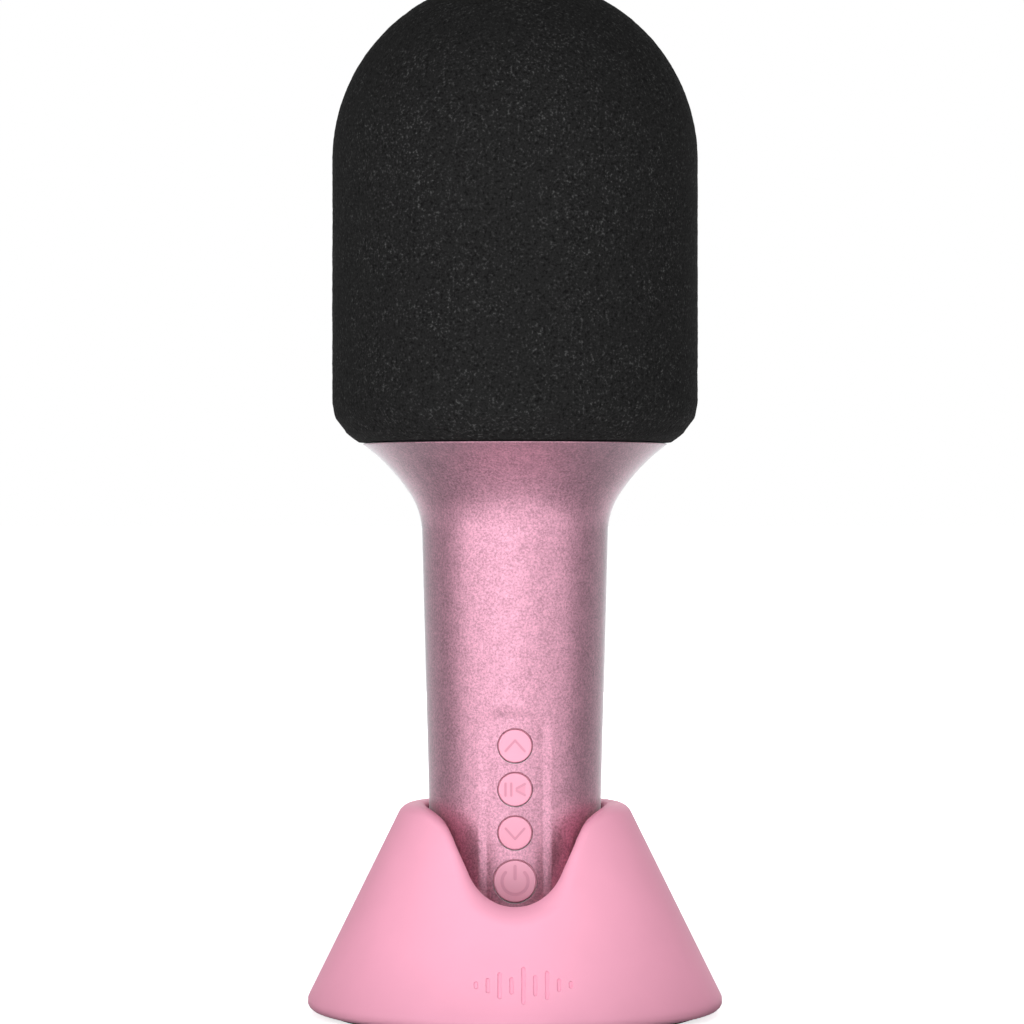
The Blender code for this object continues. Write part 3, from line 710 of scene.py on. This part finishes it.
def button_cap(name, matrix, radius):
    """A round button with a soft edge, a hidden collar and a sunken icon in painted shade."""
    edge_centre = (radius - KEY_EDGE_ROUND, -KEY_EDGE_ROUND)
    outline = [
        (0, 0),
        (radius * 0.5, 0),
        *arc(edge_centre, KEY_EDGE_ROUND, 90, 0, 5),
        (radius, -1.15), (radius + KEY_SKIRT, -1.2), (radius + KEY_SKIRT, -2.9),
        (radius + 0.8, -2.9), (radius + 0.8, -3.7), (2.0, -3.7), (2.0, -4.6),
        (0, -4.6),
    ]
    mesh = revolve(f"button_{name}_key", outline, even_angles(96))
    # The power key's own colours are painted light and shade for its place in the notch.
    mesh.materials.append(shaded_power_key_material if name == "power" else materials["pink_key"])
    shade = shaded_power_icon_material if name == "power" else icon_shade_material
    cutters = [prism("icon", stroke, -ICON_DEPTH, 1.0, shade) for stroke in icon_strokes(name)]
    # The play triangle's shallow fill carries painted shade too, lighter than the strokes.
    if name == "play":
        triangle = [(0.1, -0.35), (2.3, -1.4), (2.3, 1.4), (0.1, 0.35)]
        cutters.insert(
            0, prism("icon_fill", triangle, -ICON_FILL_DEPTH, 1.0, icon_fill_shade_material)
        )
    mesh = smooth(cut(mesh, identity_placed(cutters)), 30)
    add_object(
        f"button_{name}_key", mesh, None, f"button_{name}", "pink_key", f"button_{name}_cap",
        place=matrix,
    )


# ---------------------------------------------------------------- stand


def boss_places():
    """Centres of the four screw bosses, in mm."""
    angles = [math.radians(angle) for angle in BOSS_ANGLES]
    return [(BOSS_CIRCLE_RADIUS * math.cos(a), BOSS_CIRCLE_RADIUS * math.sin(a)) for a in angles]


def rounded_and(first, second, radius):
    """Intersection of two distance fields, with its edge rounded to a radius."""
    spread = np.hypot(np.maximum(first + radius, 0), np.maximum(second + radius, 0))
    return np.minimum(np.maximum(first, second), -radius) + spread


def notch_field(x, z):
    """Distance in the front view to the notch's outline, negative inside the notch."""
    slope = math.radians(NOTCH_ANGLE)
    across = np.abs(x)
    above = z - NOTCH_CENTRE_Z
    straight = across * math.sin(slope) - above * math.cos(slope) - NOTCH_RADIUS
    round_part = np.hypot(across, above) - NOTCH_RADIUS
    on_flank = across * math.cos(slope) + above * math.sin(slope) > 0
    return np.where(on_flank, straight, round_part)


def mark_inset(x, y, z):
    """Depth of the sound-wave mark at points of the stand's front."""
    nearest = np.full_like(x, FAR_AWAY)
    for index, height in enumerate(MARK_HEIGHTS):
        bar_x = MARK_CENTRE_X + (index - (len(MARK_HEIGHTS) - 1) / 2) * MARK_SPACING
        past_end = np.maximum(np.abs(z - MARK_CENTRE_Z) - (height - MARK_STROKE) / 2, 0)
        nearest = np.minimum(nearest, np.hypot(x - bar_x, past_end))
    inside = np.clip((MARK_STROKE / 2 + MARK_EDGE / 2 - nearest) / MARK_EDGE, 0, 1)
    return np.where(y < 0, MARK_DEPTH * inside * inside * (3 - 2 * inside), 0)


def stand_field(points):
    """Distance to the stand's surface in mm, negative inside the plastic."""
    x, y, z = points.T
    radius = np.hypot(x, y)
    cone = (radius + STAND_SLOPE * z - STAND_FOOT_RADIUS) / math.hypot(1, STAND_SLOPE)
    cone_face = cone + mark_inset(x, y, z)
    notch = np.maximum(notch_field(x, z), y - NOTCH_BACK_Y)
    top = rounded_and(z - STAND_TOP_Z, -notch, NOTCH_SHOULDER_ROUND)
    edge_round = np.interp(
        z, (NOTCH_CENTRE_Z - NOTCH_RADIUS, NOTCH_CENTRE_Z), (NOTCH_FOOT_ROUND, STAND_EDGE_ROUND)
    )
    body = rounded_and(cone_face, top, edge_round)
    body = rounded_and(body, STAND_BOTTOM_Z - z, STAND_CORNER)
    socket_radius = handle_radius(z) + SOCKET_CLEARANCE
    socket = np.maximum(radius - socket_radius, SOCKET_FLOOR_Z - z)
    body = rounded_and(body, -socket, SOCKET_LIP_ROUND)
    cup = np.maximum(radius - socket_radius - SOCKET_WALL, CUP_FLOOR_Z - z)
    hollow = np.maximum.reduce([
        cone + STAND_WALL, radius - CAVITY_SKIRT, z - CAVITY_TOP_Z, -cup,
    ])
    drop = np.interp(z, (CUP_NOTCH_TOP_Z - 4, CUP_NOTCH_TOP_Z + 2), (CUP_NOTCH_DROP, 0))
    opening = np.maximum.reduce([
        notch_field(x, z + drop), y - NOTCH_BACK_Y, radius - CUP_NOTCH_RADIUS,
    ])
    holes = np.full_like(x, FAR_AWAY)
    for boss_x, boss_y in boss_places():
        away = np.hypot(x - boss_x, y - boss_y)
        boss = np.maximum(away - BOSS_RADIUS, CUP_FLOOR_Z - z)
        hollow = np.maximum(hollow, -boss)
        holes = np.minimum(holes, np.maximum(away - BOSS_HOLE_RADIUS, z - BOSS_HOLE_TOP_Z))
    body = rounded_and(body, -np.minimum(hollow, opening), INNER_EDGE_ROUND)
    return np.maximum(body, -holes)


def slope_of(points, field, nudge=0.02):
    """Gradient of a distance field at points."""
    return np.column_stack([
        (field(points + step) - field(points - step)) / (2 * nudge)
        for step in np.eye(3) * nudge
    ])


def settle(points, field, steps=8):
    """Moves points onto the surface where a distance field is zero."""
    for _ in range(steps):
        slope = slope_of(points, field)
        size = np.maximum((slope**2).sum(1), 0.25)
        move = np.clip(field(points) / size, -0.6, 0.6)
        points = points - slope * move[:, None]
    return points


def settle_mesh(mesh, steps):
    """Settles the stand's mesh on its distance field, and returns its points in mm."""
    points = np.empty(len(mesh.vertices) * 3)
    mesh.vertices.foreach_get("co", points)
    points = settle(points.reshape(-1, 3) / MM, stand_field, steps)
    mesh.vertices.foreach_set("co", (points * MM).ravel())
    mesh.update()
    return points


def near_mark(place):
    """Whether a place in mm is at the mark, on the cone's outer face."""
    half_width = len(MARK_HEIGHTS) / 2 * MARK_SPACING
    cone_radius = STAND_FOOT_RADIUS - STAND_SLOPE * place.z
    return (
        abs(place.x - MARK_CENTRE_X) < half_width
        and abs(place.z - MARK_CENTRE_Z) < max(MARK_HEIGHTS) / 2 + MARK_MARGIN
        and place.y < 0
        and math.hypot(place.x, place.y) > cone_radius - STAND_WALL / 2
    )


def near_notch(place):
    """Whether a place in mm is about the notch."""
    return (
        place.y < NOTCH_BACK_Y
        and place.z > REFINED_FROM_Z
        and abs(place.x) < REFINED_HALF_WIDTH
    )


def refine(mesh, angle):
    """Halves the faces at the mark, and those that bend by over an angle about the notch.

    No edge bends by over 180 degrees, so that angle refines the mark alone.
    """
    shape = bmesh.new()
    shape.from_mesh(mesh)
    chosen = set()
    for edge in shape.edges:
        middle = (edge.verts[0].co + edge.verts[1].co) / (2 * MM)
        bent = near_notch(middle) and edge.calc_face_angle(0) > math.radians(angle)
        if bent or near_mark(middle):
            for vertex in edge.verts:
                chosen.update(vertex.link_faces)
    edges = [edge for edge in shape.edges if not chosen.isdisjoint(edge.link_faces)]
    bmesh.ops.subdivide_edges(shape, edges=edges, cuts=1, use_grid_fill=True)
    shape.to_mesh(mesh)
    shape.free()


def stand_body():
    """The stand's shell: the CAD solid's skin, remeshed evenly and settled on rounded edges."""
    mesh = frame["nodes"]["stand_shell"].data.copy()
    shape = bmesh.new()
    shape.from_mesh(mesh)
    bmesh.ops.remove_doubles(shape, verts=shape.verts, dist=1e-6)
    shape.to_mesh(mesh)
    shape.free()
    helper = bpy.data.objects.new("stand_helper", mesh)
    bpy.context.scene.collection.objects.link(helper)
    remesh = helper.modifiers.new("even", "REMESH")
    remesh.mode = "VOXEL"
    remesh.voxel_size = STAND_VOXEL * MM
    bpy.context.view_layer.update()
    evaluated = helper.evaluated_get(bpy.context.evaluated_depsgraph_get())
    mesh = bpy.data.meshes.new_from_object(evaluated)
    mesh.name = "stand_body"
    mesh.materials.clear()
    bpy.data.objects.remove(helper)
    points = settle_mesh(mesh, 7)
    for angle in REFINE_ANGLES:
        refine(mesh, angle)
        points = settle_mesh(mesh, 3)
    mesh.shade_smooth()
    normals = slope_of(points, stand_field)
    normals /= np.maximum(np.linalg.norm(normals, axis=1), 1e-9)[:, None]
    mesh.normals_split_custom_set_from_vertices(normals.tolist())
    add_object(
        "stand_body", mesh, materials["pink_satin"], "stand", "pink_satin", "stand_shell"
    )


# ---------------------------------------------------------------- small turned pieces


def turned(node, outline, body, edge=0.3, cutters=(), place=(0, 0), columns=96):
    """A finely turned stand-in for a CAD node, with rounded edges and upright holes in it."""
    slot = next(e["material_slot"] for e in frame["record"]["subparts"] if e["node"] == node)
    mesh = revolve(node + "_fine", softened(outline, edge), even_angles(columns))
    mesh.materials.append(materials[slot])
    if cutters:
        mesh = cut(mesh, identity_placed(cutters))
    mesh.transform(Matrix.Translation(Vector((*place, 0)) * MM))
    add_object(node + "_fine", smooth(mesh), None, body, slot, node)


def upright(outline, low, high, slot):
    return prism("cutter", outline, low, high, materials[slot])


def screw(node, body, place, bottom, head, shank, top):
    """A cross-recessed screw seen from below: head radius, shank radius and height of its tip."""
    outline = [
        (0, top), (shank * 0.4, top), (shank, top - 1.0), (shank, bottom + 1.0),
        (head, bottom + 0.8), (head, bottom + 0.25), (head * 0.82, bottom), (0, bottom),
    ]
    length, width = head * 0.55, head * 0.13
    recess = []
    for halves in ((length, width), (width, length)):
        arm = rounded_rectangle(*halves, width * 0.5)
        recess.append(upright(arm, -5, bottom + 0.55, "zinc"))
    turned(node, outline, body, 0.12, recess, place, 48)


def stand_underside():
    """Base plate, rubber ring, four screws and the pad in the socket."""
    plate_radius = CAVITY_SKIRT - 0.3
    holes = []
    for index, place in enumerate(boss_places(), 1):
        holes.append(upright(circle(3.3, 48, place), 0, 2.0, "black_plastic"))
        holes.append(upright(circle(1.7, 32, place), 0, 4.0, "black_plastic"))
        screw(f"stand_screw_{index}", "stand", place, 0.9, 2.9, 1.3, 12.4)
    turned(
        "stand_base_plate", [(0, 3.0), (plate_radius, 3.0), (plate_radius, 1.0), (0, 1.0)],
        "stand", cutters=holes, columns=160,
    )
    turned(
        "stand_foot_ring",
        [(37.6, 0.7), (42.8, 0.7), (42.8, 0.3), (42.4, 0.0), (38.0, 0.0), (37.6, 0.3)],
        "stand", edge=0.15, columns=160,
    )
    turned(
        "stand_socket_pad", [(6.0, 6.0), (18.0, 6.0), (18.0, 5.2), (6.0, 5.2)], "stand",
        edge=0.35,
    )


def handle_end():
    """The cap that closes the handle, its two screws and the charging socket in it."""
    holes = [upright(rounded_rectangle(4.9, 2.0, 1.9, (0, PORT_Y)), 5, 10, "pink_satin")]
    for index, x in enumerate((-END_SCREW_X, END_SCREW_X), 1):
        holes.append(upright(circle(2.7, 48, (x, 1)), 5, 8.4, "pink_satin"))
        holes.append(upright(circle(1.5, 32, (x, 1)), 5, 12, "pink_satin"))
        screw(f"end_cap_screw_{index}", "microphone", (x, 1), 7.0, 2.3, 1.15, 13.4)
    turned(
        "end_cap",
        [(0, 9.1), (14.2, 9.1), (14.2, 11.5), (16.2, 11.5), (16.2, 6.9), (0, 6.9)],
        "microphone", edge=0.5, cutters=holes,
    )
    steel = materials["steel"]
    shell = prism(
        "charge_port_fine", rounded_rectangle(4.5, 1.6, 1.55, (0, PORT_Y), 10), 6.9, 14.2, steel
    )
    mouth = prism(
        "mouth", rounded_rectangle(4.15, 1.25, 1.2, (0, PORT_Y), 10), 5, 12.8, steel
    )
    shell = smooth(cut(shell, identity_placed([mouth])))
    add_object("charge_port_fine", shell, None, "microphone", "steel", "charge_port")
    tongue = prism(
        "charge_port_tongue", rounded_rectangle(3.3, 0.35, 0.3, (0, PORT_Y)), 7.6, 12.8
    )
    add_object(
        "charge_port_tongue", smooth(tongue), materials["black_plastic"], "microphone",
        "black_plastic",
    )


def speaker_surround():
    """The rubber roll about the speaker's cone. Its inner lip leaves room for the cone's travel."""
    roll = (22.3, 154.6)
    lip_low, lip_high = 154.65, 155.1
    outline = [
        (26.6, 153.8), (26.6, 154.3), (24.4, 154.3), *arc(roll, 1.9, 0, 180, 16),
        (20.3, lip_high), (18.8, lip_high), (18.8, lip_low), (20.7, lip_low),
        *arc(roll, 1.4, 180, 0, 16), (23.6, 153.8),
    ]
    mesh = revolve("speaker_surround_fine", outline[::-1], even_angles(96))
    add_object(
        "speaker_surround_fine", smooth(mesh), materials["dark_rubber"], "microphone",
        "dark_rubber", "speaker_surround",
    )


# ---------------------------------------------------------------- stage, lights and camera


def stage():
    """A pale floor that lightens to plain white away from the stand."""
    signs = ((-1, -1), (1, -1), (1, 1), (-1, 1))
    corners = [(FLOOR_REACH * sign_x, FLOOR_REACH * sign_y) for sign_x, sign_y in signs]
    mesh = prism("floor", corners, -20, 0)
    floor = bpy.data.objects.new("floor", mesh)
    bpy.context.scene.collection.objects.link(floor)
    shader = Shader("floor_white", 0.9, specular=0.0)
    pale = shader.noise(60.0, detail=2.0)
    shader.link(shader.mix(pale, (0.86, 0.86, 0.86), (0.9, 0.9, 0.9)), "Base Color")
    length = shader.tree.nodes.new("ShaderNodeVectorMath")
    length.operation = "LENGTH"
    shader.tree.links.new(shader.place, length.inputs[0])
    glow = shader.remap(
        length.outputs["Value"], *FLOOR_GLOW_DISTANCES, *FLOOR_GLOW_STRENGTHS
    )
    shader.principled.inputs["Emission Color"].default_value = (1, 1, 1, 1)
    shader.link(glow, "Emission Strength")
    mesh.materials.append(shader.material)
    floor.visible_diffuse = False
    floor.visible_glossy = False


def softbox(name, place, target, size, power, glossy=True):
    """A rectangular light, in metres and watts, that the camera doesn't see."""
    data = bpy.data.lights.new(name, "AREA")
    data.shape = "RECTANGLE"
    data.size, data.size_y = size
    data.energy = power
    light = bpy.data.objects.new(name, data)
    bpy.context.scene.collection.objects.link(light)
    light.location = place
    aim = Vector(target) - Vector(place)
    light.rotation_euler = aim.to_track_quat("-Z", "Y").to_euler()
    light.visible_camera = False
    light.visible_glossy = glossy


def lights():
    """Softboxes in front and behind, low ones that face up, and a white world behind it all.

    The floor is hidden from bounced and reflected light, so the low softboxes give back what it
    would return.
    """
    middle = (0, 0, 0.12)
    softbox("key", (-0.1, -1.5, 0.42), middle, (1.2, 1.2), 12.4)
    softbox("left", (-1.25, -1.0, 0.5), middle, (1.2, 1.6), 11.6)
    softbox("right", (1.25, -1.0, 0.5), middle, (1.2, 1.6), 6.6)
    softbox("top", (0, -0.2, 1.5), middle, (1.2, 1.2), 2)
    softbox("bounce", (0, -0.75, 0.003), (0, -0.75, 1), (2.0, 1.3), 12.5)
    for side in (-1, 1):
        place = (side * 0.078, -0.045, 0.002)
        softbox("side_floor", place, (*place[:2], 1), (0.05, 0.1), 0.013, glossy=False)
    softbox("near_floor", (0, -0.09, 0.002), (0, -0.09, 1), (0.14, 0.07), 0.016)
    softbox("back_top", (0.2, 1.2, 1.0), middle, (1.4, 1.0), 9, glossy=False)
    softbox("back", (0.1, 1.6, 0.3), middle, (1.4, 1.3), 8)
    softbox("back_bounce", (0, 0.8, 0.003), (0, 0.8, 1), (2.0, 1.3), 9)
    world = bpy.data.worlds.new("studio")
    bpy.context.scene.world = world
    world.use_nodes = True
    tree = world.node_tree
    background = tree.nodes["Background"]
    background.inputs["Color"].default_value = (0.9, 0.9, 0.92, 1)
    background.inputs["Strength"].default_value = 0.15
    white = tree.nodes.new("ShaderNodeBackground")
    white.inputs["Color"].default_value = (1, 1, 1, 1)
    white.inputs["Strength"].default_value = 1.0
    path = tree.nodes.new("ShaderNodeLightPath")
    mix = tree.nodes.new("ShaderNodeMixShader")
    tree.links.new(path.outputs["Is Camera Ray"], mix.inputs[0])
    tree.links.new(background.outputs[0], mix.inputs[1])
    tree.links.new(white.outputs[0], mix.inputs[2])
    tree.links.new(mix.outputs[0], tree.nodes["World Output"].inputs["Surface"])
    bpy.context.scene.view_settings.view_transform = "Standard"


def camera():
    """A level camera in front of the button column."""
    data = bpy.data.cameras.new("camera")
    data.lens = CAMERA_LENS
    data.sensor_width = CAMERA_SENSOR
    obj = bpy.data.objects.new("camera", data)
    bpy.context.scene.collection.objects.link(obj)
    obj.location = (CAMERA_ASIDE * MM, -CAMERA_DISTANCE * MM, CAMERA_HEIGHT * MM)
    obj.rotation_euler = (math.radians(90), 0, 0)
    bpy.context.scene.camera = obj


finish_cad_nodes()
foam_windscreen()
keys = button_frames()
handle_shell(keys)
for key_name, (key_matrix, key_radius) in keys.items():
    button_cap(key_name, key_matrix, key_radius)
stand_body()
stand_underside()
handle_end()
speaker_surround()
stage()
lights()
camera()
